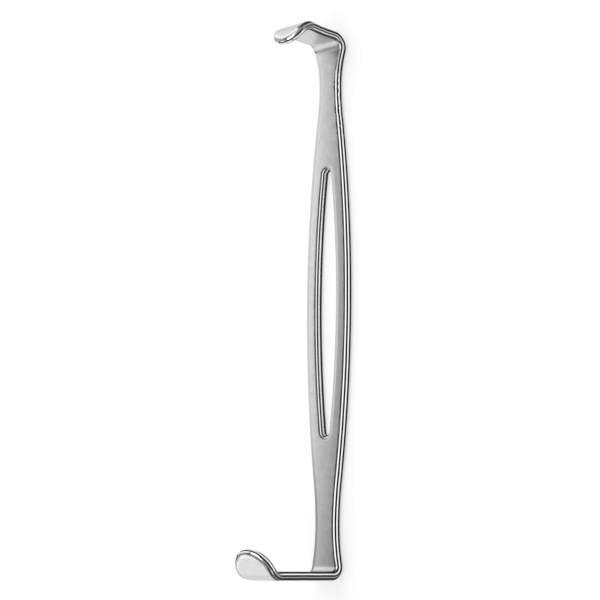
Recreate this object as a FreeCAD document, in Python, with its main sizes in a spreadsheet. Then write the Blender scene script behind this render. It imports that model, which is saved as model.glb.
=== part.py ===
import FreeCAD, Part
import math
import os
import Sketcher
from FreeCAD import Vector

# A handheld double-ended surgical retractor: one flat steel strip, cut to its outline, rounded on every
# rim, and bent up into a long blade at one end and a short blade at the other. Each blade ends in a wide
# round lip that leans in over the handle. A long fenestration lightens the handle.
# X runs along the handle towards the short blade, Z is up, and the flat back of the handle lies on Z = 0.
# Lengths are in millimetres, angles in degrees.

doc = FreeCAD.newDocument("retractor")

# Driving sizes

sheet = doc.addObject("Spreadsheet::Sheet", "sizes")
driving = [
    ("overall_length", 114.0, "outer face of one blade to outer face of the other"),
    ("thickness", 1.8, "of the strip, the same everywhere"),
    ("rim_land", 0.16, "narrow flat left along the middle of each rounded rim"),
    ("handle_width", 11.7, "across the middle of the handle"),
    ("slot_length", 55.4, "of the fenestration"),
    ("slot_width", 4.6, "of the fenestration at its middle"),
    ("slot_end_radius", 0.75, "of the fenestration's two ends"),
    ("long_shoulder_radius", 70.3, "plan radius where the swell runs down to the long blade's neck"),
    ("long_neck_width", 5.9, "narrowest place of the handle by the long blade"),
    ("long_neck_station", 11.0, "outer face of the long blade to its neck"),
    ("long_flare_blend", 10.0, "plan radius where the flare runs into the long blade"),
    ("long_blade_width", 7.6, "of the long blade"),
    ("long_bend_radius", 1.1, "inside the bend of the long blade"),
    ("long_lip_start", 18.9, "height at which the long blade turns into its lip"),
    ("long_lip_radius", 2.3, "inside that turn"),
    ("long_lip_angle", 56.0, "turn of the lip away from the blade"),
    ("long_lip_length", 4.3, "end of the turn to the tip"),
    ("long_paddle_width", 9.7, "of the round lip of the long blade"),
    ("long_paddle_flare", 3.8, "widest place of the lip to where the blade starts to widen"),
    ("short_shoulder_radius", 46.8, "plan radius where the swell runs down to the short blade's neck"),
    ("short_neck_width", 5.5, "narrowest place of the handle by the short blade"),
    ("short_neck_station", 11.0, "outer face of the short blade to its neck"),
    ("short_flare_blend", 8.0, "plan radius where the flare runs into the short blade"),
    ("short_blade_width", 8.3, "of the short blade"),
    ("short_bend_radius", 2.0, "inside the bend of the short blade"),
    ("short_lip_start", 10.8, "height at which the short blade turns into its lip"),
    ("short_lip_radius", 2.8, "inside that turn"),
    ("short_lip_angle", 63.0, "turn of the lip away from the blade"),
    ("short_lip_length", 2.1, "end of the turn to the tip"),
    ("short_paddle_width", 9.1, "of the round lip of the short blade"),
    ("short_paddle_flare", 2.6, "widest place of the lip to where the blade starts to widen"),
    ("cut_margin", 1.0, "by which the trimming cuts run past the metal"),
    ("cut_overlap", 0.5, "by which one trimming cut runs into the next"),
]
for row, (name, value, note) in enumerate(driving, start=1):
    sheet.set("A%d" % row, name)
    sheet.set("B%d" % row, str(value))
    sheet.set("C%d" % row, note)
    sheet.setAlias("B%d" % row, name)
doc.recompute()


def size(name):
    return float(sheet.get(name))


half_length = size("overall_length") / 2
thickness = size("thickness")
margin = size("cut_margin")
overlap = size("cut_overlap")
rim_radius = (thickness - size("rim_land")) / 2
corner_angle = 35.0  # degrees between two faces, under which they run into each other smoothly
stock_half = max(size("long_paddle_width"), size("short_paddle_width"), size("handle_width")) / 2 + margin
# The plan cuts reach up past both bends, and the blade cuts start a little below that.
bend_top = thickness + max(size("long_bend_radius"), size("short_bend_radius")) + overlap
bend_top_rule = (
    "sizes.thickness + max(sizes.long_bend_radius; sizes.short_bend_radius) + sizes.cut_overlap"
)
stock_rule = (
    "max(sizes.long_paddle_width; sizes.short_paddle_width; sizes.handle_width) / 2 + sizes.cut_margin"
)

body = doc.addObject("PartDesign::Body", "retractor")
body.Label = "retractor"
plane = {feature.Role: feature for feature in body.Origin.OriginFeatures}

# Points of a line or an arc, and the two axes of a sketch. Its origin is the start of its X axis.
START, END, CENTRE = range(1, 4)
AXIS_X, AXIS_Y = range(-1, -3, -1)
ORIGIN = AXIS_X


class Outline:
    """A sketch built up from lines and arcs, with constraints bound to the sheet."""

    def __init__(self, name, support):
        self.sketch = body.newObject("Sketcher::SketchObject", name)
        self.sketch.AttachmentSupport = (plane[support], "")
        self.sketch.MapMode = "FlatFace"

    def line(self, start, end):
        return self.sketch.addGeometry(Part.LineSegment(Vector(*start), Vector(*end)), False)

    def arc(self, centre, radius, start, end):
        """Counter-clockwise from the angle start to the angle end, in radians."""
        circle = Part.Circle(Vector(*centre), Vector(0, 0, 1), radius)
        return self.sketch.addGeometry(Part.ArcOfCircle(circle, start, end), False)

    def tie(self, *terms):
        return self.sketch.addConstraint(Sketcher.Constraint(*terms))

    def drive(self, name, rule, *terms):
        index = self.tie(*terms)
        self.sketch.renameConstraint(index, name)
        self.sketch.setExpression("Constraints.%s" % name, rule)


def joint(outline, first, first_end, second, second_end):
    outline.tie("Tangent", first, first_end, second, second_end)


def corner(outline, first, first_end, second, second_end):
    outline.tie("Coincident", first, first_end, second, second_end)


# Side view of the bent strip, before its outline is cut

side = Outline("side_profile", "XZ_Plane")


def bent_end(blade, toward):
    """Adds one blade with its bend and its lip. toward is -1 at the long blade and 1 at the short one."""
    bend = size(blade + "_bend_radius")
    lip = size(blade + "_lip_radius")
    turn = math.radians(size(blade + "_lip_angle"))
    lip_start = size(blade + "_lip_start")
    reach = size(blade + "_lip_length") + margin
    bend_x = toward * (half_length - thickness - bend)
    bend_z = thickness + bend
    lip_x = toward * (half_length - thickness - lip)
    along = (-toward * math.sin(turn), math.cos(turn))
    bend_arc = {}
    blade_line = {}
    lip_arc = {}
    lip_line = {}
    tip = {}
    for face, offset in (("outer", thickness), ("inner", 0.0)):
        bend_radius = bend + offset
        lip_radius = lip + offset
        blade_x = bend_x + toward * bend_radius
        out_x = lip_x + toward * lip_radius * math.cos(turn)
        out_z = lip_start + lip_radius * math.sin(turn)
        tip[face] = (out_x + along[0] * reach, out_z + along[1] * reach, 0)
        if toward > 0:
            bend_arc[face] = side.arc((bend_x, bend_z, 0), bend_radius, -math.pi / 2, 0)
            lip_arc[face] = side.arc((lip_x, lip_start, 0), lip_radius, 0, turn)
        else:
            bend_arc[face] = side.arc((bend_x, bend_z, 0), bend_radius, math.pi, 1.5 * math.pi)
            lip_arc[face] = side.arc((lip_x, lip_start, 0), lip_radius, math.pi - turn, math.pi)
        blade_line[face] = side.line((blade_x, bend_z, 0), (blade_x, lip_start, 0))
        lip_line[face] = side.line((out_x, out_z, 0), tip[face])
    tip_line = side.line(tip["outer"], tip["inner"])
    near, far = (END, START) if toward > 0 else (START, END)
    for face in ("outer", "inner"):
        joint(side, bend_arc[face], near, blade_line[face], START)
        joint(side, blade_line[face], END, lip_arc[face], far)
        joint(side, lip_arc[face], near, lip_line[face], START)
        side.tie("Vertical", blade_line[face])
    corner(side, lip_line["outer"], END, tip_line, START)
    corner(side, tip_line, END, lip_line["inner"], END)
    corner(side, bend_arc["outer"], CENTRE, bend_arc["inner"], CENTRE)
    corner(side, lip_arc["outer"], CENTRE, lip_arc["inner"], CENTRE)
    side.tie("Parallel", lip_line["outer"], lip_line["inner"])
    side.tie("Perpendicular", tip_line, lip_line["outer"])
    place = half_length if toward > 0 else -half_length
    side.drive(blade + "_face", "%d * sizes.overall_length / 2" % toward,
               "DistanceX", ORIGIN, START, blade_line["outer"], START, place)
    side.drive(blade + "_bend_inside", "sizes.%s_bend_radius" % blade, "Radius", bend_arc["inner"], bend)
    side.drive(blade + "_bend_outside", "sizes.%s_bend_radius + sizes.thickness" % blade,
               "Radius", bend_arc["outer"], bend + thickness)
    side.drive(blade + "_turn_inside", "sizes.%s_lip_radius" % blade, "Radius", lip_arc["inner"], lip)
    side.drive(blade + "_turn_height", "sizes.%s_lip_start" % blade,
               "DistanceY", ORIGIN, START, lip_arc["inner"], CENTRE, lip_start)
    side.drive(blade + "_turn_angle", "sizes.%s_lip_angle * 1 deg" % blade, "Angle", lip_arc["inner"], turn)
    side.drive(blade + "_lip_stock", "sizes.%s_lip_length + sizes.cut_margin" % blade,
               "Distance", lip_line["inner"], reach)
    return bend_arc, far


long_bend, long_far = bent_end("long", -1)
short_bend, short_far = bent_end("short", 1)
for face, height in (("outer", 0.0), ("inner", thickness)):
    left = -(half_length - thickness - size("long_bend_radius"))
    right = half_length - thickness - size("short_bend_radius")
    handle_line = side.line((left, height, 0), (right, height, 0))
    joint(side, long_bend[face], long_far, handle_line, START)
    joint(side, handle_line, END, short_bend[face], short_far)
    if face == "outer":
        side.tie("PointOnObject", handle_line, START, AXIS_X)
        side.tie("PointOnObject", handle_line, END, AXIS_X)

strip = body.newObject("PartDesign::Pad", "bent_strip")
strip.Profile = side.sketch
strip.Midplane = True
strip.setExpression("Length", "2 * (%s)" % stock_rule)
strip.Length = 2 * stock_half
doc.recompute()


# Plan outline of the handle: from its middle a long swell each way, a shoulder down to each neck, and a
# flare out to the width of each blade

plan = Outline("handle_outline", "XY_Plane")
middle = size("handle_width") / 2
step = stock_half + margin
ends = {}
for blade, toward in (("long", -1), ("short", 1)):
    neck = size(blade + "_neck_width") / 2
    neck_x = half_length - size(blade + "_neck_station")
    blend = size(blade + "_flare_blend")
    wide = size(blade + "_blade_width") / 2
    wide_x = half_length - thickness
    # Radii that make each arc run tangent into the next
    shoulder = size(blade + "_shoulder_radius")
    swell = (neck_x ** 2 + (middle - neck) ** 2) / (2 * (middle - neck)) - shoulder
    flare = ((wide_x - neck_x) ** 2 + (wide - neck) ** 2) / (2 * (wide - neck)) - blend
    swell_angle = math.asin(neck_x / (swell + shoulder))
    flare_angle = math.asin((wide_x - neck_x) / (flare + blend))
    out_x = half_length + margin
    up = math.pi / 2
    if toward > 0:
        swell_span = (up - swell_angle, up)
        shoulder_span = (-up - swell_angle, -up)
        flare_span = (-up, -up + flare_angle)
        blend_span = (up, up + flare_angle)
    else:
        swell_span = (up, up + swell_angle)
        shoulder_span = (-up, -up + swell_angle)
        flare_span = (-up - flare_angle, -up)
        blend_span = (up - flare_angle, up)
    ends[blade] = {
        "swell": plan.arc((0, middle - swell, 0), swell, *swell_span),
        "shoulder": plan.arc((toward * neck_x, neck + shoulder, 0), shoulder, *shoulder_span),
        "flare": plan.arc((toward * neck_x, neck + flare, 0), flare, *flare_span),
        "blend": plan.arc((toward * wide_x, wide - blend, 0), blend, *blend_span),
        "level": plan.line((toward * wide_x, wide, 0), (toward * out_x, wide, 0)),
        "drop": plan.line((toward * out_x, wide, 0), (toward * out_x, step, 0)),
    }
across = plan.line((-half_length - margin, step, 0), (half_length + margin, step, 0))
for blade, toward in (("long", -1), ("short", 1)):
    run = ends[blade]
    inner, outer = (START, END) if toward > 0 else (END, START)
    joint(plan, run["swell"], inner, run["shoulder"], inner)
    joint(plan, run["shoulder"], outer, run["flare"], inner)
    joint(plan, run["flare"], outer, run["blend"], outer)
    joint(plan, run["blend"], inner, run["level"], START)
    corner(plan, run["level"], END, run["drop"], START)
    corner(plan, run["drop"], END, across, END if toward > 0 else START)
    plan.tie("Horizontal", run["level"])
    plan.tie("Vertical", run["drop"])
    plan.tie("Vertical", run["flare"], CENTRE, run["flare"], inner)
    neck = size(blade + "_neck_width") / 2
    neck_x = half_length - size(blade + "_neck_station")
    plan.tie("PointOnObject", run["swell"], CENTRE, AXIS_Y)
    plan.drive(blade + "_shoulder", "sizes.%s_shoulder_radius" % blade, "Radius", run["shoulder"],
               size(blade + "_shoulder_radius"))
    plan.drive(blade + "_neck_place",
               "%d * (sizes.overall_length / 2 - sizes.%s_neck_station)" % (toward, blade),
               "DistanceX", ORIGIN, START, run["flare"], inner, toward * neck_x)
    plan.drive(blade + "_neck", "sizes.%s_neck_width / 2" % blade,
               "DistanceY", ORIGIN, START, run["flare"], inner, neck)
    plan.drive(blade + "_blend", "sizes.%s_flare_blend" % blade, "Radius", run["blend"],
               size(blade + "_flare_blend"))
    plan.drive(blade + "_inside", "%d * (sizes.overall_length / 2 - sizes.thickness)" % toward,
               "DistanceX", ORIGIN, START, run["blend"], inner, toward * (half_length - thickness))
    plan.drive(blade + "_width", "sizes.%s_blade_width / 2" % blade,
               "DistanceY", ORIGIN, START, run["blend"], inner, size(blade + "_blade_width") / 2)
    plan.drive(blade + "_past", "%d * (sizes.overall_length / 2 + sizes.cut_margin)" % toward,
               "DistanceX", ORIGIN, START, run["drop"], END, toward * (half_length + margin))
plan.tie("Horizontal", across)
plan.drive("clear", "%s + sizes.cut_margin" % stock_rule, "DistanceY", ORIGIN, START, across, START, step)
corner(plan, ends["long"]["swell"], START, ends["short"]["swell"], END)
plan.tie("PointOnObject", ends["long"]["swell"], START, AXIS_Y)
plan.drive("half_width", "sizes.handle_width / 2",
           "DistanceY", ORIGIN, START, ends["long"]["swell"], START, middle)

plan_cut = body.newObject("PartDesign::Pocket", "handle_trim")
plan_cut.Profile = plan.sketch
plan_cut.Reversed = True
plan_cut.Length = bend_top
plan_cut.setExpression("Length", bend_top_rule)
doc.recompute()

# Straight sides of each blade, between its bend and the place where it starts to widen

side_cuts = [plan_cut]
for blade, toward in (("long", -1), ("short", 1)):
    wide = size(blade + "_blade_width") / 2
    turn = math.radians(size(blade + "_lip_angle"))
    widest = size(blade + "_lip_length") - size(blade + "_paddle_width") / 2
    spread = widest - size(blade + "_paddle_flare") + size(blade + "_lip_radius") * math.sin(turn)
    top = size(blade + "_lip_start") + spread / math.cos(turn)
    bottom = bend_top - overlap
    top_rule = (
        "sizes.{0}_lip_start + (sizes.{0}_lip_length - sizes.{0}_paddle_width / 2 - sizes.{0}_paddle_flare"
        " + sizes.{0}_lip_radius * sin(sizes.{0}_lip_angle * 1 deg)) / cos(sizes.{0}_lip_angle * 1 deg)"
    ).format(blade)
    sides = Outline(blade + "_blade_sides", "YZ_Plane")
    low = sides.line((wide, bottom, 0), (step, bottom, 0))
    out = sides.line((step, bottom, 0), (step, top, 0))
    high = sides.line((step, top, 0), (wide, top, 0))
    edge = sides.line((wide, top, 0), (wide, bottom, 0))
    for first, second in ((low, out), (out, high), (high, edge), (edge, low)):
        corner(sides, first, END, second, START)
    for level in (low, high):
        sides.tie("Horizontal", level)
    for upright in (out, edge):
        sides.tie("Vertical", upright)
    sides.drive("width", "sizes.%s_blade_width / 2" % blade, "DistanceX", ORIGIN, START, edge, END, wide)
    sides.drive("clear", "%s + sizes.cut_margin" % stock_rule, "DistanceX", ORIGIN, START, out, START, step)
    sides.drive("bottom", bend_top_rule + " - sizes.cut_overlap",
                "DistanceY", ORIGIN, START, low, START, bottom)
    sides.drive("top", top_rule, "DistanceY", ORIGIN, START, high, START, top)
    blade_cut = body.newObject("PartDesign::Pocket", blade + "_blade_trim")
    blade_cut.Profile = sides.sketch
    blade_cut.Reversed = toward > 0
    blade_cut.Length = half_length + margin
    blade_cut.setExpression("Length", "sizes.overall_length / 2 + sizes.cut_margin")
    doc.recompute()
    side_cuts.append(blade_cut)

both_sides = body.newObject("PartDesign::Mirrored", "other_side")
both_sides.Originals = side_cuts
both_sides.MirrorPlane = (plane["XZ_Plane"], [""])
body.Tip = both_sides
doc.recompute()

# Round outline of each lip, cut square to the lip's own faces. The sketch's origin is the centre of the
# turn. The strip is one margin longer than the lip, and the cut runs one margin past that.

lip_cuts = []
for blade, toward in (("long", -1), ("short", 1)):
    wide = size(blade + "_blade_width") / 2
    round_tip = size(blade + "_paddle_width") / 2
    spread = size(blade + "_paddle_flare")
    lip = size(blade + "_lip_radius")
    widest = size(blade + "_lip_length") - round_tip
    begin = widest - spread
    widest_rule = "sizes.{0}_lip_length - sizes.{0}_paddle_width / 2".format(blade)
    begin_rule = widest_rule + " - sizes.%s_paddle_flare" % blade
    low = begin - thickness - overlap
    high = size(blade + "_lip_length") + 2 * margin
    hollow = (spread ** 2 / (round_tip - wide) - round_tip - wide) / 2
    lean = math.atan2(spread, wide + hollow)
    shape = Outline(blade + "_lip_outline", "YZ_Plane")
    lip_x = toward * (half_length - thickness - lip)
    shape.sketch.AttachmentOffset = FreeCAD.Placement(
        Vector(0, size(blade + "_lip_start"), lip_x),
        FreeCAD.Rotation(Vector(-toward, 0, 0), size(blade + "_lip_angle")))
    shape.sketch.setExpression("AttachmentOffset.Base.y", "sizes.%s_lip_start * 1 mm" % blade)
    shape.sketch.setExpression(
        "AttachmentOffset.Base.z",
        "%d * (sizes.overall_length / 2 - sizes.thickness - sizes.%s_lip_radius) * 1 mm" % (toward, blade))
    shape.sketch.setExpression("AttachmentOffset.Rotation.Angle", "sizes.%s_lip_angle * 1 deg" % blade)
    straight = {1: shape.line((wide, low, 0), (wide, begin, 0)),
                -1: shape.line((-wide, low, 0), (-wide, begin, 0))}
    widening = {1: shape.arc((wide + hollow, begin, 0), hollow, math.pi - lean, math.pi),
                -1: shape.arc((-wide - hollow, begin, 0), hollow, 0, lean)}
    tip = shape.arc((0, widest, 0), round_tip, -lean, math.pi + lean)
    foot = {}
    outside = {}
    for hand in (1, -1):
        foot[hand] = shape.line((hand * wide, low, 0), (hand * step, low, 0))
        outside[hand] = shape.line((hand * step, low, 0), (hand * step, high, 0))
    over = shape.line((step, high, 0), (-step, high, 0))
    for hand, to_blade, to_tip in ((1, END, START), (-1, START, END)):
        joint(shape, straight[hand], END, widening[hand], to_blade)
        joint(shape, widening[hand], START if hand > 0 else END, tip, to_tip)
        corner(shape, straight[hand], START, foot[hand], START)
        corner(shape, foot[hand], END, outside[hand], START)
        corner(shape, outside[hand], END, over, to_tip)
        shape.tie("Vertical", straight[hand])
        shape.tie("Vertical", outside[hand])
        shape.tie("Horizontal", foot[hand])
        side_name = "right" if hand > 0 else "left"
        shape.drive("width_" + side_name, "%d * sizes.%s_blade_width / 2" % (hand, blade),
                    "DistanceX", ORIGIN, START, straight[hand], START, hand * wide)
        shape.drive("clear_" + side_name, "%d * (%s + sizes.cut_margin)" % (hand, stock_rule),
                    "DistanceX", ORIGIN, START, outside[hand], START, hand * step)
        shape.drive("begin_" + side_name, begin_rule,
                    "DistanceY", ORIGIN, START, straight[hand], END, begin)
        shape.drive("foot_" + side_name, begin_rule + " - sizes.thickness - sizes.cut_overlap",
                    "DistanceY", ORIGIN, START, foot[hand], START, low)
    shape.tie("Horizontal", over)
    shape.tie("PointOnObject", tip, CENTRE, AXIS_Y)
    shape.drive("tip_radius", "sizes.%s_paddle_width / 2" % blade, "Radius", tip, round_tip)
    shape.drive("widest", widest_rule, "DistanceY", ORIGIN, START, tip, CENTRE, widest)
    shape.drive("beyond", "sizes.%s_lip_length + 2 * sizes.cut_margin" % blade,
                "DistanceY", ORIGIN, START, over, START, high)
    lip_cut = body.newObject("PartDesign::Pocket", blade + "_lip_trim")
    lip_cut.Profile = shape.sketch
    lip_cut.Midplane = True
    lip_cut.Length = 2 * (lip + thickness + margin)
    lip_cut.setExpression("Length", "2 * (sizes.%s_lip_radius + sizes.thickness + sizes.cut_margin)" % blade)
    doc.recompute()
    lip_cuts.append(lip_cut)

# Fenestration of the handle: two long arcs that meet in small round ends

lens = Outline("fenestration", "XY_Plane")
end_radius = size("slot_end_radius")
end_x = size("slot_length") / 2 - end_radius
half_slot = size("slot_width") / 2
bow = (end_x ** 2 + half_slot ** 2 - end_radius ** 2) / (2 * (half_slot - end_radius))
reach = math.atan2(bow - half_slot, end_x)
upper = lens.arc((0, half_slot - bow, 0), bow, reach, math.pi - reach)
left = lens.arc((-end_x, 0, 0), end_radius, math.pi - reach, math.pi + reach)
lower = lens.arc((0, bow - half_slot, 0), bow, math.pi + reach, 2 * math.pi - reach)
right = lens.arc((end_x, 0, 0), end_radius, -reach, reach)
for first, second in ((upper, left), (left, lower), (lower, right), (right, upper)):
    joint(lens, first, END, second, START)
lens.tie("Equal", upper, lower)
for name, arc, hand in (("left", left, -1), ("right", right, 1)):
    lens.tie("PointOnObject", arc, CENTRE, AXIS_X)
    lens.drive(name + "_radius", "sizes.slot_end_radius", "Radius", arc, end_radius)
    lens.drive(name + "_end", "%d * (sizes.slot_length / 2 - sizes.slot_end_radius)" % hand,
               "DistanceX", ORIGIN, START, arc, CENTRE, hand * end_x)
crown = lens.sketch.addGeometry(Part.Point(Vector(0, half_slot, 0)), True)
lens.tie("PointOnObject", crown, START, upper)
lens.tie("PointOnObject", crown, START, AXIS_Y)
lens.drive("half_width", "sizes.slot_width / 2", "DistanceY", ORIGIN, START, crown, START, half_slot)
slot = body.newObject("PartDesign::Pocket", "fenestration_cut")
slot.Profile = lens.sketch
slot.Reversed = True
slot.Length = thickness + margin
slot.setExpression("Length", "sizes.thickness + sizes.cut_margin")
doc.recompute()


# Every rim of the strip and of the fenestration is rounded over from both faces


def sharp_edges(shape):
    """Names of the edges where two faces meet at a corner, and not in one smooth run."""
    names = []
    for number, edge in enumerate(shape.Edges, start=1):
        beside = [face for face in shape.Faces if any(edge.isSame(other) for other in face.Edges)]
        if len(beside) != 2:
            continue
        point = edge.valueAt((edge.FirstParameter + edge.LastParameter) / 2)
        normals = [face.normalAt(*face.Surface.parameter(point)) for face in beside]
        if abs(normals[0].dot(normals[1])) < math.cos(math.radians(corner_angle)):
            names.append("Edge%d" % number)
    return names


rims = body.newObject("PartDesign::Fillet", "rounded_rims")
rims.Base = (slot, sharp_edges(slot.Shape))
rims.Radius = rim_radius
rims.setExpression("Radius", "(sizes.thickness - sizes.rim_land) / 2")
body.Tip = rims
doc.recompute()

# Checks before anything is written

for item in doc.Objects:
    if "Invalid" in item.State or "Error" in item.State:
        raise RuntimeError("%s failed: %s" % (item.Name, item.State))
shape = body.Shape
if shape.isNull() or not shape.isValid() or len(shape.Solids) != 1:
    raise RuntimeError("the retractor is not one valid solid")
# Each trimming cut, and the rounding of the rims, takes metal away
stages = [strip, *side_cuts, both_sides, *lip_cuts, slot, rims]
for earlier, later in zip(stages, stages[1:]):
    if not later.Shape.Volume < earlier.Shape.Volume - thickness ** 3 / 100:
        raise RuntimeError("%s took no metal away" % later.Name)

os.makedirs("parts", exist_ok=True)
shape.exportStep(os.path.join("parts", body.Label + ".step"))
box = shape.BoundBox
print("retractor", round(shape.Volume, 1), "mm3", len(shape.Faces), "faces")
print("lowest corner", round(box.XMin, 2), round(box.YMin, 2), round(box.ZMin, 2))
print("highest corner", round(box.XMax, 2), round(box.YMax, 2), round(box.ZMax, 2))
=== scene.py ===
import math

import bpy
from mathutils import Matrix, Vector


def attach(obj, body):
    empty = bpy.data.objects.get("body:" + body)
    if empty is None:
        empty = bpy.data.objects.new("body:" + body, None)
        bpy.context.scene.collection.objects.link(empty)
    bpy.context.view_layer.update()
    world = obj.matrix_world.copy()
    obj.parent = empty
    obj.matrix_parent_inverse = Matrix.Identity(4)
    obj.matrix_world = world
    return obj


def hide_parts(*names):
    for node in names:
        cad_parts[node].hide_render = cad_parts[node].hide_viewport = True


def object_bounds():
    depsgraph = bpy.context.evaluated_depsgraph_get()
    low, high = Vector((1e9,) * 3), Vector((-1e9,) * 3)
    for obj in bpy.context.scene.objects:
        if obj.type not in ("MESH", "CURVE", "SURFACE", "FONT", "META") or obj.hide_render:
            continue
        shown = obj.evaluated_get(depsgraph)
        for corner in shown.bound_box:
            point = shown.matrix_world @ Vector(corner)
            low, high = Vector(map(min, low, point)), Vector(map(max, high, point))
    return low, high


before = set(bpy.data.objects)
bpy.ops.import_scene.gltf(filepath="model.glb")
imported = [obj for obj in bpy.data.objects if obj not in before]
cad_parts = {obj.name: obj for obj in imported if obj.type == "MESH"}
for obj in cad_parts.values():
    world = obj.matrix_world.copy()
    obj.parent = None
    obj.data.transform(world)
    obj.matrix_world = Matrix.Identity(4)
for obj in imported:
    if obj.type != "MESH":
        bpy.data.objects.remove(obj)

mm = 0.001
cadLow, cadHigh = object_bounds()
print("frame loaded, box in mm:", [round(v / mm, 2) for v in (*cadLow, *cadHigh)])


# The steel strip. It is cut flat, rounded on every rim, and then bent, as the real one is.

strip = {
    "thickness": 1.8 * mm,
    "land": 0.16 * mm,              # flat left along the middle of each rim
    "shoulderWidth": 0.85 * mm,     # the face eases over before it meets the rim
    "shoulderSlope": math.radians(6),
    "rimSteps": 14,
    "shoulderSteps": 5,
    "flatRing": 0.05 * mm,          # keeps the shading of each flat face flat right up to its shoulder
    "flatFrom": 0.4999,             # a face this share of the thickness from the middle is a flat one
}
handle = {
    "halfLength": (cadHigh.x - cadLow.x) / 2,
    "halfWidth": (cadHigh.y - cadLow.y) / 2,
    "slotLength": 55.4 * mm,
    "slotWidth": 4.6 * mm,
    "slotEndRadius": 0.75 * mm,
}
longBlade = {
    "neckWidth": 5.9 * mm,
    "neckStation": 11.0 * mm,
    "shoulderRadius": 70.3 * mm,
    "flareBlend": 10.0 * mm,
    "width": 7.6 * mm,
    "bendRadius": 1.1 * mm,
    "lipStart": 18.9 * mm,
    "lipRadius": 2.3 * mm,
    "lipAngle": math.radians(56),
    "lipLength": 4.3 * mm,
    "paddleWidth": 9.7 * mm,
    "paddleFlare": 3.8 * mm,
}
shortBlade = {
    "neckWidth": 5.5 * mm,
    "neckStation": 11.0 * mm,
    "shoulderRadius": 46.8 * mm,
    "flareBlend": 8.0 * mm,
    "width": 8.3 * mm,
    "bendRadius": 2.0 * mm,
    "lipStart": 10.8 * mm,
    "lipRadius": 2.8 * mm,
    "lipAngle": math.radians(63),
    "lipLength": 2.1 * mm,
    "paddleWidth": 9.1 * mm,
    "paddleFlare": 2.6 * mm,
}
ends = ((-1, longBlade), (1, shortBlade))      # which way along X each blade lies
fineStep = 0.22 * mm
longStep = 0.8 * mm
columns = {"bend": 18, "turn": 12, "flat": 60}     # cuts across the strip
mergeDistance = 0.001 * mm
cutSnap = 0.01 * mm


def arcPoints(centre, radius, start, end, step):
    count = max(3, math.ceil(abs(end - start) * radius / step))
    turns = [start + (end - start) * i / count for i in range(count + 1)]
    return [(centre[0] + radius * math.cos(a), centre[1] + radius * math.sin(a)) for a in turns]


def flatPlaces(blade):
    # Places along the flat strip, from the middle of the handle: where each bend starts and how long it is
    middle = strip["thickness"] / 2
    bendStart = handle["halfLength"] - strip["thickness"] - blade["bendRadius"]
    bendLength = (blade["bendRadius"] + middle) * math.pi / 2
    turnStart = bendStart + bendLength + blade["lipStart"] - strip["thickness"] - blade["bendRadius"]
    turnLength = (blade["lipRadius"] + middle) * blade["lipAngle"]
    return bendStart, bendLength, turnStart, turnLength


def halfOutline(blade):
    # One side of the flat strip, from the middle of the handle to the tip of one lip.
    # The handle swells in the middle, and a shoulder, a flare and a blend lead to the blade's width.
    middle = strip["thickness"] / 2
    bendStart, bendLength, turnStart, turnLength = flatPlaces(blade)
    half = handle["halfWidth"]
    neck = blade["neckWidth"] / 2
    neckX = handle["halfLength"] - blade["neckStation"]
    wide = blade["width"] / 2
    wideX = handle["halfLength"] - strip["thickness"]
    blend = blade["flareBlend"]
    shoulder = blade["shoulderRadius"]
    barrel = (neckX ** 2 + (half - neck) ** 2) / (2 * (half - neck)) - shoulder
    flare = ((wideX - neckX) ** 2 + (wide - neck) ** 2) / (2 * (wide - neck)) - blend
    swell = math.asin(neckX / (barrel + shoulder))
    lean = math.asin((wideX - neckX) / (flare + blend))
    up = math.pi / 2
    plan = arcPoints((0, half - barrel), barrel, up, up - swell, longStep)
    plan += arcPoints((neckX, neck + shoulder), shoulder, -up - swell, -up, longStep)[1:]
    plan += arcPoints((neckX, neck + flare), flare, -up, -up + lean, longStep / 2)[1:]
    plan += arcPoints((wideX, wide - blend), blend, up + lean, up, fineStep)[1:]
    # The plan runs a little way into the bend, and is unrolled there
    bend = blade["bendRadius"] + middle
    points = []
    for x, y in plan:
        past = max(0, x - bendStart)
        points.append((min(x, bendStart) + bend * math.asin(past / bend), y))
    tip = blade["paddleWidth"] / 2
    widest = blade["lipLength"] - tip
    begin = widest - blade["paddleFlare"]
    turn = blade["lipRadius"] + middle
    hollow = (blade["paddleFlare"] ** 2 / (tip - wide) - tip - wide) / 2
    spread = math.atan2(blade["paddleFlare"], wide + hollow)

    def flatten(v):
        # From a height above the end of the lip's turn, in the lip's own plane, to a place along the strip
        full = turn * math.sin(blade["lipAngle"])
        if v >= 0:
            return turnStart + turnLength + v
        if v >= -full:
            return turnStart + turnLength - turn * math.asin(-v / turn)
        return turnStart - (-v - full) / math.cos(blade["lipAngle"])

    # The blade's straight side, and then the lip's hollow and round end
    start = points[-1][0]
    reach = flatten(begin) - start
    count = math.ceil(reach / (2 * fineStep))
    points += [(start + reach * i / count, wide) for i in range(1, count)]
    lip = arcPoints((wide + hollow, begin), hollow, math.pi, math.pi - spread, fineStep)
    lip += arcPoints((0, widest), tip, -spread, up, fineStep)[1:]
    points += [(flatten(v), y) for y, v in lip]
    points[-1] = (points[-1][0], 0)
    return points


def slotOutline():
    # Upper side of the fenestration, from its short end to its long end
    endRadius = handle["slotEndRadius"]
    endX = handle["slotLength"] / 2 - endRadius
    half = handle["slotWidth"] / 2
    bow = (endX ** 2 + half ** 2 - endRadius ** 2) / (2 * (half - endRadius))
    reach = math.atan2(bow - half, endX)
    points = arcPoints((endX, 0), endRadius, 0, reach, fineStep / 2)
    points += arcPoints((0, half - bow), bow, reach, math.pi - reach, longStep)[1:]
    points += arcPoints((-endX, 0), endRadius, math.pi - reach, math.pi, fineStep / 2)[1:]
    points[0] = (points[0][0], 0)
    points[-1] = (points[-1][0], 0)
    return points


def choose(mesh, wanted):
    # Selects the faces for which wanted says yes, and nothing else
    for part in (mesh.vertices, mesh.edges):
        part.foreach_set("select", [False] * len(part))
    for face in mesh.polygons:
        face.select = wanted(face)


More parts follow.
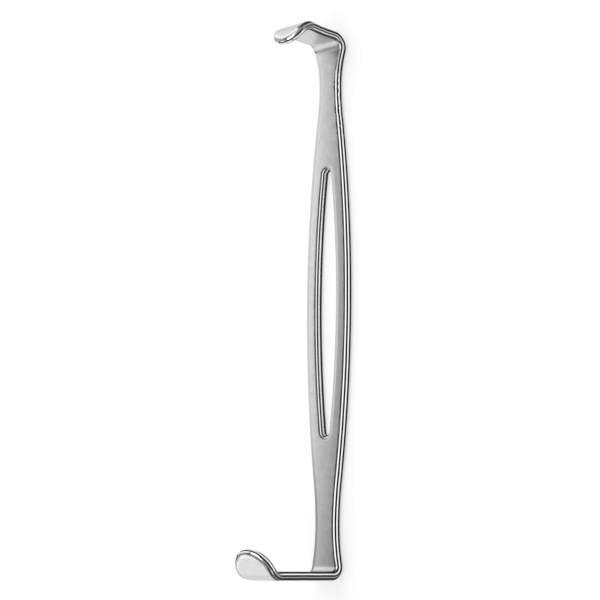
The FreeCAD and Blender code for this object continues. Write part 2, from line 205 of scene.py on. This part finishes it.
def editFaces():
    bpy.ops.object.mode_set(mode="EDIT")
    bpy.ops.mesh.select_mode(type="FACE")


def applyModifier(piece, kind, **settings):
    modifier = piece.modifiers.new(kind.lower(), kind)
    for name, value in settings.items():
        setattr(modifier, name, value)
    bpy.ops.object.modifier_apply(modifier=modifier.name)


def rimSection():
    # Points inwards and upwards from the land to the flat face, each with its slope: the round rim, then
    # the easy shoulder
    height = (strip["thickness"] - strip["land"]) / 2
    turn = math.pi / 2 - strip["shoulderSlope"]
    shoulderRadius = strip["shoulderWidth"] / math.cos(turn)
    rimRadius = (height - shoulderRadius * (1 - math.sin(turn))) / math.sin(turn)
    section = [(0, 0, math.pi / 2)]
    for i in range(1, strip["rimSteps"] + 1):
        a = turn * i / strip["rimSteps"]
        section.append((rimRadius * (1 - math.cos(a)), rimRadius * math.sin(a), math.pi / 2 - a))
    foot = section[-1]
    for i in range(1, strip["shoulderSteps"] + 1):
        a = turn + (math.pi / 2 - turn) * i / strip["shoulderSteps"]
        section.append((foot[0] + shoulderRadius * (math.cos(turn) - math.cos(a)),
                        foot[1] + shoulderRadius * (math.sin(a) - math.sin(turn)), math.pi / 2 - a))
    section.append((section[-1][0] + strip["flatRing"], section[-1][1], 0))
    return section


def makeBlank():
    upper = [(-x, y) for x, y in reversed(halfOutline(longBlade)[1:])] + halfOutline(shortBlade)
    points = upper + slotOutline()
    bpy.ops.object.select_all(action="DESELECT")
    level = strip["thickness"] / 2
    bpy.ops.mesh.primitive_circle_add(vertices=len(points), radius=handle["halfLength"],
                                      fill_type="NGON", location=(0, 0, 0))
    piece = bpy.context.object
    piece.name = "retractorSteel"
    for vertex, (x, y) in zip(piece.data.vertices, points):
        vertex.co = (x, y, level)
    piece.data.update()
    if piece.data.polygons[0].normal.z < 0:
        editFaces()
        bpy.ops.mesh.select_all(action="SELECT")
        bpy.ops.mesh.flip_normals()
        bpy.ops.object.mode_set(mode="OBJECT")
    applyModifier(piece, "MIRROR", use_axis=(False, True, False), use_clip=True,
                  merge_threshold=mergeDistance)
    applyModifier(piece, "SOLIDIFY", thickness=strip["land"], offset=0)
    choose(piece.data, lambda face: abs(face.normal.z) > 0.5)
    editFaces()
    section = rimSection()
    for (inFrom, upFrom, _), (inTo, upTo, _) in zip(section, section[1:]):
        bpy.ops.mesh.inset(thickness=inTo - inFrom, depth=upTo - upFrom, use_even_offset=True)
    bpy.ops.object.mode_set(mode="OBJECT")
    print("blank rounded:", len(piece.data.polygons), "faces")
    return piece


def noteFlatPlaces(piece):
    # The finish follows the strip round its bends, so each point keeps its place on the flat blank, and
    # how far the surface has turned there: 0 on the inner face, 0.5 on the land, 1 on the outer face
    mesh = piece.data
    middle = strip["thickness"] / 2
    levels = [(strip["land"] / 2 + up, slope / math.pi) for _, up, slope in rimSection()]
    flatPlace = mesh.attributes.new("flatPlace", "FLOAT_VECTOR", "POINT")
    for i, vertex in enumerate(mesh.vertices):
        flatPlace.data[i].vector = vertex.co
    rimTurn = mesh.attributes.new("rimTurn", "FLOAT", "POINT")
    for i, vertex in enumerate(mesh.vertices):
        height = vertex.co.z - middle
        turn = min(levels, key=lambda level: (abs(level[0] - abs(height)), level[1]))[1]
        rimTurn.data[i].value = turn if height > 0 else 1 - turn


def cutAcross(piece, station, wanted):
    choose(piece.data, wanted)
    editFaces()
    bpy.ops.mesh.bisect(plane_co=(station, 0, 0), plane_no=(1, 0, 0), threshold=cutSnap)
    bpy.ops.object.mode_set(mode="OBJECT")


def cutColumns(piece):
    # The whole strip is cut across wherever it will bend, and its flat faces now and then elsewhere
    thickness = strip["thickness"]

    def onFlatFace(face):
        return abs(face.center.z - thickness / 2) > strip["flatFrom"] * thickness

    reach = 0
    for side, blade in ends:
        bendStart, bendLength, turnStart, turnLength = flatPlaces(blade)
        for start, length, count in ((bendStart, bendLength, columns["bend"]),
                                     (turnStart, turnLength, columns["turn"])):
            for i in range(count + 1):
                cutAcross(piece, side * (start + length * i / count), lambda face: True)
        reach = max(reach, turnStart)
    for i in range(1, columns["flat"]):
        cutAcross(piece, -reach + 2 * reach * i / columns["flat"], onFlatFace)
    print("columns cut:", len(piece.data.polygons), "faces")


def bendStrip(piece, side, start, length, angle):
    # Bends the strip upwards between two places, with the middle of its thickness as the neutral line
    hinge = bpy.data.objects.new("hinge", None)
    bpy.context.scene.collection.objects.link(hinge)
    along = Vector((side, 0, 0))
    up = Vector((0, 0, 1))
    matrix = Matrix((along, up, along.cross(up))).transposed().to_4x4()
    matrix.translation = Vector((side * start, 0, strip["thickness"] / 2))
    hinge.matrix_world = matrix
    bpy.context.view_layer.update()
    reach = [side * vertex.co.x - start for vertex in piece.data.vertices]
    span = max(reach) - min(reach)
    limits = (-min(reach) / span, (length - min(reach)) / span)
    applyModifier(piece, "SIMPLE_DEFORM", deform_method="BEND", deform_axis="Z", origin=hinge,
                  angle=angle, limits=limits)
    bpy.data.objects.remove(hinge)


piece = makeBlank()
cutColumns(piece)
noteFlatPlaces(piece)
for side, blade in ends:
    bendStart, bendLength, turnStart, turnLength = flatPlaces(blade)
    bendStrip(piece, side, turnStart, turnLength, blade["lipAngle"])
    bendStrip(piece, side, bendStart, bendLength, math.pi / 2)
bpy.ops.object.shade_smooth()
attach(piece, "root")
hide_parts("retractor")
print("strip bent")


# Steel finish, with painted reflection lines in the rims' polish and painted shade on the handle's satin

class Wire:
    # One node socket. An expression on wires adds its Math nodes.
    def __init__(self, tree, socket=None):
        self.tree = tree
        self.socket = socket

    def add(self, kind, settings, sockets, output=0):
        # Any node: its settings come first, then the values or links of its sockets
        node = self.tree.nodes.new(kind)
        for name, value in settings.items():
            if name == "stops":
                ramp = node.color_ramp
                while len(ramp.elements) < len(value):
                    ramp.elements.new(1)
                for stop, (place, shade) in zip(ramp.elements, value):
                    stop.position = place
                    stop.color = (shade, shade, shade, 1)
            else:
                setattr(node, name, value)
        for name, value in sockets.items():
            if isinstance(value, Wire):
                self.tree.links.new(value.socket, node.inputs[name])
            else:
                node.inputs[name].default_value = value
        return Wire(self.tree, node.outputs[output] if node.outputs else None)

    def maths(self, operation, *terms):
        return self.add("ShaderNodeMath", {"operation": operation}, dict(enumerate(terms)))

    def __add__(self, other):
        return self.maths("ADD", self, other)

    def __radd__(self, other):
        return self.maths("ADD", other, self)

    def __sub__(self, other):
        return self.maths("SUBTRACT", self, other)

    def __rsub__(self, other):
        return self.maths("SUBTRACT", other, self)

    def __mul__(self, other):
        return self.maths("MULTIPLY", self, other)

    def __rmul__(self, other):
        return self.maths("MULTIPLY", other, self)

    def __abs__(self):
        return self.maths("ABSOLUTE", self)


satin = {
    "colour": (0.64, 0.64, 0.645, 1),
    "paintedShadeAndGrainColour": (0.34, 0.34, 0.345, 1),   # painted shade: the handle's inner face is painted darker towards its near edge; grain and patches also darken towards this colour
    "paintedShadeReach": 5 * mm,                    # reach of the painted shade to each side of the handle's middle line
    "paintedShadeTurn": (0.4, 0.5),                 # rimTurn where the painted shade ends, on the way to the back
    "noiseMiddle": 0.45,                    # grain and patches above this darken the satin
    "roughness": 0.32,
    "grainSize": 0.22 * mm,
    "grainHeight": 0.0010 * mm,
    "grainDusk": 0.9,
    "grainRoughness": 0.06,
    "patchSize": 1.5 * mm,
    "patchDusk": 0.5,
    "patchRoughness": 0.05,
}
# The mirror polish on the rims, and the painted reflections in it: dark and bright lines that stand in for
# mirrored surroundings
polish = {
    "colour": (0.97, 0.97, 0.975, 1),
    "roughness": 0.07,
    "start": (2.6, 3.6),                    # degrees of turn from a face, where the satin gives way to it
    # colour of the painted dark reflection lines
    "paintedLineColour": (0.012, 0.012, 0.013, 1),
    "wander": 2.5,                          # degrees by which the lines stray
    "wanderSize": 2.4 * mm,
    "neckWobble": 7,                        # degrees by which they also wobble in the short blade's neck
    "wobbleSize": 0.6 * mm,
    "farSide": (-0.05, 0.05),               # the normal's Y where the far side's lines take over
    "lipShift": 0.4,                        # and how much further round the lips that happens
    "farPaintedDimming": 0.5,                      # painted dimming: share of its painted brightness that the far rim loses at its low end
}
turnDegrees = 180                           # from the inner face to the outer one, where rimTurn is 1

# Where one pattern of painted reflection lines gives way to the next, and where the painted shade on the
# handle ends, along the flat strip from the middle of the handle
fades = {
    "slotEnd": (28.5 * mm, 30 * mm),
    "slotSide": (3.4 * mm, 3.8 * mm),       # across the strip
    "farPaintedDimming": (20 * mm, 45 * mm),       # towards the long blade
    "wobbleStart": (33 * mm, 37 * mm),
    "wobbleEnd": (50 * mm, 54 * mm),
    "shortNeck": (45 * mm, 50 * mm),
    "handleEnd": (53 * mm, 57 * mm),
    "lips": (68.5 * mm, 69.5 * mm),
    "blade": (0.2, 1),                      # shares of the bend's length, from its start
    "turn": (-0.1, 0.3),                    # shares of the lip's turn, from its start
    "lip": (0.6, 1),
    "tip": (-1.4 * mm, -0.5 * mm),          # from the end of the lip
}

# The photo shows dark surroundings as lines in the polish. This scene is pale, so the lines are painted by
# place on the strip: degrees that the surface has turned from the inner face, and how bright it is there.
# Painted reflections: each list holds the dark and bright lines painted into one stretch's polish
paintedReflectionLines = {
    "handle": [(0, 0.50), (4, 0.45), (4.6, 0.08), (10, 0.06), (13, 0.50), (31, 0.50), (34, 0.01), (60, 0.00),
               (64, 0.98), (82, 0.98), (86, 0.00), (122, 0.01), (136, 0.20), (180, 0.70)],
    "shortNeck": [(0, 0.50), (12, 0.60), (22, 0.35), (33, 0.30), (38, 0.02), (56, 0.05), (60, 0.60),
                  (72, 0.75), (82, 0.55), (87, 0.01), (122, 0.01), (136, 0.25), (180, 0.70)],
    "slot": [(0, 0.50), (4, 0.45), (4.6, 0.18), (10, 0.16), (13, 0.50), (24, 0.50), (27, 0.00), (46, 0.00),
             (49, 1.00), (74, 1.00), (78, 0.00), (102, 0.01), (114, 0.50), (126, 0.90), (180, 0.80)],
    "longBlade": [(0, 0.02), (51, 0.01), (56, 0.30), (61, 0.95), (74, 0.98), (78, 0.10), (81, 0.01),
                  (91, 0.01), (95, 0.40), (104, 0.40), (109, 0.01), (138, 0.01), (150, 0.30), (180, 0.70)],
    "longTurn": [(0, 0.05), (32, 0.08), (40, 0.25), (56, 0.25), (66, 0.10), (80, 0.12), (88, 0.35),
                 (95, 0.30), (104, 0.02), (124, 0.02), (131, 0.30), (138, 0.20), (145, 0.04), (156, 0.06),
                 (170, 0.30), (180, 0.85)],
    "longLip": [(0, 0.08), (74, 0.02), (80, 0.20), (84, 0.90), (91, 0.90), (94, 0.02), (97, 0.00),
                (115, 0.00), (119, 0.30), (122, 0.90), (132, 0.90), (137, 0.30), (143, 0.03), (156, 0.03),
                (161, 0.40), (171, 0.60), (174, 0.20), (176, 0.80), (180, 0.90)],
    "shortBlade": [(0, 0.10), (27, 0.02), (32, 0.40), (36, 0.80), (48, 0.80), (53, 0.03), (67, 0.01),
                   (72, 0.30), (76, 0.55), (85, 0.55), (88, 0.01), (102, 0.01), (110, 0.30), (118, 0.70),
                   (128, 0.90), (180, 0.95)],
    "shortTurn": [(0, 0.08), (12, 0.10), (28, 0.60), (34, 0.55), (44, 0.04), (52, 0.04), (60, 0.35),
                  (80, 0.15), (90, 0.08), (97, 0.50), (104, 0.50), (112, 0.03), (160, 0.06), (170, 0.30),
                  (180, 0.85)],
    "lipEnd": [(0, 0.15), (50, 0.30), (62, 0.45), (72, 0.85), (88, 0.95), (91, 0.05), (94, 0.00),
               (109, 0.00), (113, 0.70), (117, 0.95), (126, 0.80), (133, 0.28), (148, 0.26), (158, 0.45),
               (170, 0.62), (180, 0.85)],
    "farSide": [(0, 0.45), (46, 0.70), (51, 0.03), (68, 0.03), (73, 0.95), (105, 0.95), (110, 0.03),
                (128, 0.03), (133, 0.80), (180, 0.60)],
}


def newMaterial(name):
    material = bpy.data.materials.new(name)
    material.use_nodes = True
    material.node_tree.nodes.clear()
    return material, Wire(material.node_tree)


def rise(wire, value, start, end):
    # Goes smoothly from 0 to 1 while the value goes from start to end
    return wire.add("ShaderNodeMapRange", {"interpolation_type": "SMOOTHSTEP"}, {0: value, 1: start, 2: end})


def fall(wire, value, start, end):
    return 1 - rise(wire, value, start, end)


def mix(wire, share, first, second):
    return wire.add("ShaderNodeMix", {"data_type": "FLOAT"}, {0: share, 2: first, 3: second})


def mixColours(wire, share, first, second):
    # The Mix node keeps its colours in sockets of their own, apart from its plain values
    return wire.add("ShaderNodeMix", {"data_type": "RGBA"}, {0: share, 6: first, 7: second}, output=2)


def noise(wire, place, size, detail, roughness=0.5):
    return wire.add("ShaderNodeTexNoise", {}, {"Vector": place, "Scale": 1 / size, "Detail": detail,
                                               "Roughness": roughness})


def paintedLineShade(wire, stretch, turn):
    stops = [(degrees / turnDegrees, shade) for degrees, shade in paintedReflectionLines[stretch]]
    return wire.add("ShaderNodeValToRGB", {"stops": stops}, {0: turn})


def nearPaintedLines(wire, along, across, turn):
    # Each stretch's painted reflection lines fade into the next one's, outwards along the strip
    inSlot = fall(wire, abs(along), *fades["slotEnd"]) * fall(wire, abs(across), *fades["slotSide"])
    shade = mix(wire, inSlot, paintedLineShade(wire, "handle", turn), paintedLineShade(wire, "slot", turn))
    shade = mix(wire, rise(wire, along, *fades["shortNeck"]), shade, paintedLineShade(wire, "shortNeck", turn))
    for side, blade, stretches in ((1, shortBlade, ("shortBlade", "shortTurn", "lipEnd")),
                                   (-1, longBlade, ("longBlade", "longTurn", "longLip", "lipEnd"))):
        bendStart, bendLength, turnStart, turnLength = flatPlaces(blade)
        tip = turnStart + turnLength + blade["lipLength"]
        places = ([bendStart + share * bendLength for share in fades["blade"]],
                  [turnStart + share * turnLength for share in fades["turn"]],
                  [turnStart + share * turnLength for share in fades["lip"]],
                  [tip + reach for reach in fades["tip"]])
        for stretch, (start, end) in zip(stretches, places):
            share = rise(wire, side * along, start, end)
            shade = mix(wire, share, shade, paintedLineShade(wire, stretch, turn))
    return shade


def paintedReflectionShade(wire, place, along, across, turn):
    # How bright the painted reflections make the polish: 0 in a painted dark line, 1 in a painted bright one
    wander = noise(wire, place, polish["wanderSize"], detail=1.0) - 0.5
    turned = turn + wander * (2 * polish["wander"] / turnDegrees)
    wobble = noise(wire, place, polish["wobbleSize"], detail=0.0) - 0.5
    inNeck = rise(wire, along, *fades["wobbleStart"]) * fall(wire, along, *fades["wobbleEnd"])
    wobbled = turned + inNeck * wobble * (2 * polish["neckWobble"] / turnDegrees)
    near = nearPaintedLines(wire, along, across, wobbled)
    far = paintedLineShade(wire, "farSide", turned)
    far = far * (1 - polish["farPaintedDimming"] * rise(wire, -1 * along, *fades["farPaintedDimming"]))
    normal = wire.add("ShaderNodeTexCoord", {}, {}, output=1)
    sideways = wire.add("ShaderNodeSeparateXYZ", {}, {0: normal}, output=1)
    sideways = sideways - polish["lipShift"] * rise(wire, abs(along), *fades["lips"])
    return mix(wire, rise(wire, sideways, *polish["farSide"]), near, far)


def steelMaterial():
    material, wire = newMaterial("satinSteel")
    place = wire.add("ShaderNodeAttribute", {"attribute_name": "flatPlace"}, {}, output=1)
    turn = wire.add("ShaderNodeAttribute", {"attribute_name": "rimTurn"}, {}, output=2)
    along = wire.add("ShaderNodeSeparateXYZ", {}, {0: place}, output=0)
    across = wire.add("ShaderNodeSeparateXYZ", {}, {0: place}, output=1)
    grain = noise(wire, place, satin["grainSize"], detail=2.0, roughness=0.6)
    patches = noise(wire, place, satin["patchSize"], detail=3.0)
    fromFace = turnDegrees * turn.maths("MINIMUM", turn, 1 - turn)
    polished = rise(wire, fromFace, *polish["start"])
    # Painted shade: the handle's inner face darker towards its near edge, plus the satin's own grain and
    # patches
    paintedShadeMask = fall(wire, abs(along), *fades["handleEnd"]) * fall(wire, turn, *satin["paintedShadeTurn"])
    paintedShadeAndGrain = paintedShadeMask * fall(wire, across, -satin["paintedShadeReach"], satin["paintedShadeReach"])
    paintedShadeAndGrain = paintedShadeAndGrain + satin["grainDusk"] * (grain - satin["noiseMiddle"])
    paintedShadeAndGrain = paintedShadeAndGrain + satin["patchDusk"] * (patches - satin["noiseMiddle"])
    satinColour = mixColours(wire, paintedShadeAndGrain, satin["colour"], satin["paintedShadeAndGrainColour"])
    rough = satin["roughness"] + satin["grainRoughness"] * (grain - 0.5)
    rough = rough + satin["patchRoughness"] * (patches - 0.5)
    relief = wire.add("ShaderNodeBump", {}, {"Height": grain * (1 - polished), "Strength": 1.0,
                                             "Distance": satin["grainHeight"]})
    steel = wire.add("ShaderNodeBsdfPrincipled", {}, {
        "Base Color": mixColours(wire, polished, satinColour, polish["colour"]),
        "Metallic": 1.0,
        "Roughness": rough * (1 - polished) + polish["roughness"] * polished,
        "Normal": relief,
    })
    # A black shader for the painted dark reflection lines in the polish
    line = wire.add("ShaderNodeBsdfPrincipled", {}, {
        "Base Color": polish["paintedLineColour"],
        "Roughness": 1.0,
        "Specular IOR Level": 0.0,
    })
    # Where the polish shows a painted dark reflection line
    inPaintedDarkLine = polished * (1 - paintedReflectionShade(wire, place, along, across, turn))
    surface = wire.add("ShaderNodeMixShader", {}, {0: inPaintedDarkLine, 1: steel, 2: line})
    wire.add("ShaderNodeOutputMaterial", {}, {"Surface": surface})
    return material


piece.data.materials.clear()
piece.data.materials.append(steelMaterial())
print("steel finished")


# Floor, light and camera

white = (1, 1, 1, 1)
stage = {
    "floorHalf": 3.0,
    "floorDrop": 0.01 * mm,
    "floorColour": (0.93, 0.93, 0.93, 1),
    "floorWhite": 0.55,             # share of plain white that the camera and the metal see in the floor
    "lightDistance": 0.75,
    "skyStrength": 0.35,
}


def floorMaterial():
    material, wire = newMaterial("palePaper")
    paper = wire.add("ShaderNodeBsdfDiffuse", {}, {"Color": stage["floorColour"], "Roughness": 0.0})
    glow = wire.add("ShaderNodeEmission", {}, {"Color": white, "Strength": 1.0})
    cameraRay, glossyRay, transmissionRay = [wire.add("ShaderNodeLightPath", {}, {}, output=i)
                                             for i in (0, 3, 6)]
    seen = cameraRay + glossyRay + transmissionRay
    share = seen.maths("MINIMUM", seen, 1.0) * stage["floorWhite"]
    surface = wire.add("ShaderNodeMixShader", {}, {0: share, 1: paper, 2: glow})
    wire.add("ShaderNodeOutputMaterial", {}, {"Surface": surface})
    return material


bpy.ops.object.select_all(action="DESELECT")
bpy.ops.mesh.primitive_plane_add(size=2 * stage["floorHalf"], location=(0, 0, -stage["floorDrop"]))
floor = bpy.context.object
floor.name = "floor"
floor.data.materials.append(floorMaterial())


def softLight(name, lean, tilt, width, length, brightness):
    # A panel that faces the object. lean is its angle from straight above, towards the camera's side,
    # and tilt its angle towards the short blade. width and length are the angles that it fills, seen
    # from the object, and brightness is that of its surface, whatever its size.
    lean, tilt = math.radians(lean), math.radians(tilt)
    distance = stage["lightDistance"]
    lamp = bpy.data.lights.new(name, "AREA")
    lamp.shape = "RECTANGLE"
    lamp.size = 2 * distance * math.tan(math.radians(length / 2))
    lamp.size_y = 2 * distance * math.tan(math.radians(width / 2))
    lamp.energy = brightness * math.pi * lamp.size * lamp.size_y
    holder = bpy.data.objects.new(name, lamp)
    bpy.context.scene.collection.objects.link(holder)
    way = Vector((math.sin(tilt), -math.sin(lean) * math.cos(tilt), math.cos(lean) * math.cos(tilt)))
    across = Vector((0, way.z, -way.y)).normalized()
    holder.matrix_world = Matrix((across.cross(way), across, way)).transposed().to_4x4()
    holder.location = way * distance


softLight("topLight", lean=1, tilt=0, width=46, length=100, brightness=1.9)
softLight("faceLight", lean=-62, tilt=27, width=52, length=60, brightness=0.9)
softLight("lipLight", lean=-68, tilt=-40, width=40, length=44, brightness=0.9)
softLight("nearLight", lean=82, tilt=0, width=14, length=120, brightness=1.3)

world = bpy.data.worlds.new("studio")
bpy.context.scene.world = world
world.use_nodes = True
world.node_tree.nodes["Background"].inputs["Color"].default_value = white
world.node_tree.nodes["Background"].inputs["Strength"].default_value = stage["skyStrength"]
print("stage lit")

view = {
    "place": (-0.05426, -0.22750, 0.25266),
    "up": (0.98748, -0.10055, 0.12159),
    "lens": 99.55,
    "sensor": 36,
    "photoWidth": 600,              # pixels
    "sideways": -31.85,             # pixels from the photo's middle
    "upwards": 2.24,
    "nearest": 0.01,
    "furthest": 10,
}
camera = bpy.data.objects.new("camera", bpy.data.cameras.new("camera"))
bpy.context.scene.collection.objects.link(camera)
back = Vector(view["place"]).normalized()
right = Vector(view["up"]).cross(back).normalized()
camera.matrix_world = Matrix((right, back.cross(right), back)).transposed().to_4x4()
camera.location = view["place"]
camera.data.sensor_width = view["sensor"]
camera.data.lens = view["lens"]
camera.data.shift_x = view["sideways"] / view["photoWidth"]
camera.data.shift_y = view["upwards"] / view["photoWidth"]
camera.data.clip_start = view["nearest"]
camera.data.clip_end = view["furthest"]
bpy.context.scene.camera = camera
bpy.context.scene.view_settings.view_transform = "Standard"

print("scene ready")
